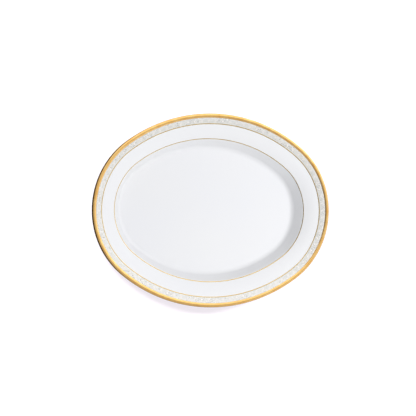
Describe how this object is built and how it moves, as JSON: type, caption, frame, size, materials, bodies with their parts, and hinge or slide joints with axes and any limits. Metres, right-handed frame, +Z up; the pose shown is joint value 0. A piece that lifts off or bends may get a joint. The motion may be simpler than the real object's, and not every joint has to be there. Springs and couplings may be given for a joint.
{
  "type": "oval serving platter",
  "caption": "Oval white porcelain serving platter with a wide sloping rim, a rolled gilded lip, a pale lace border between fine gold lines, a coved well and a ground foot.",
  "frame": {"origin": "centre of the platter's plan, at the height of the table the foot stands on", "axes": "+X along the platter's long way, +Y across it, +Z up out of the well"},
  "size_m": [0.356, 0.273, 0.032],
  "materials": {
    "bisque": "fired unglazed porcelain, covered by the glaze everywhere",
    "ground_foot": "bare clay, ground flat and matte",
    "glaze": "clear glossy glaze over cool white porcelain",
    "border_tint": "printed warm grey ground under the gloss",
    "lace_enamel": "slightly raised white enamel, satin",
    "gold": "bright burnished gilding"
  },
  "bodies": {
    "root": {"porcelain_body": "bisque", "foot_ring": "ground_foot", "face_glaze": "glaze", "base_glaze": "glaze", "border_ground": "border_tint", "border_lace": "lace_enamel", "outer_gold_line": "gold", "inner_gold_line": "gold", "gold_lip_band": "gold"}
  },
  "joints": []
}
